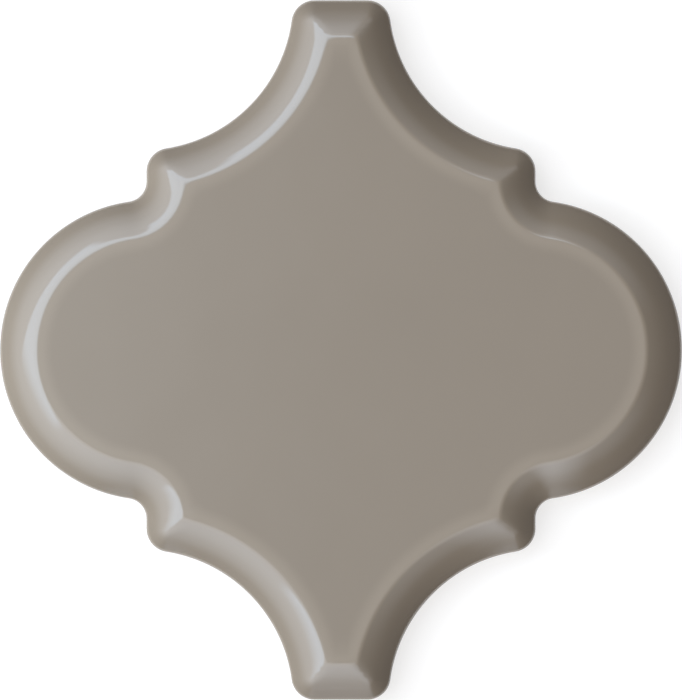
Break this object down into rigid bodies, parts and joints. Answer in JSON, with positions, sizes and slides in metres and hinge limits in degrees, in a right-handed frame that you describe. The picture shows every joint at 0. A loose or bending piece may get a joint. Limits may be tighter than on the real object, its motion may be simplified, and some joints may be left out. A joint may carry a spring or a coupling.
{
  "type": "moroccan arabesque tile",
  "caption": "Lantern-shaped glazed ceramic wall tile with round lobes, flat-tipped necks and a bevelled rim round a flat panel; its grooved back beds in adhesive.",
  "frame": {"origin": "middle of the flat back, on its middle rib", "axes": "+Z out of the glazed face, +Y to the upper neck, +X to the right lobe seen from the front"},
  "size_m": [0.117, 0.12, 0.009],
  "materials": {
    "glazed_ceramic": "glossy warm grey glaze, lighter where it thins over the bevel's crease, on a bare fired-clay back"
  },
  "bodies": {
    "root": {"tile": "glazed_ceramic"}
  },
  "joints": []
}
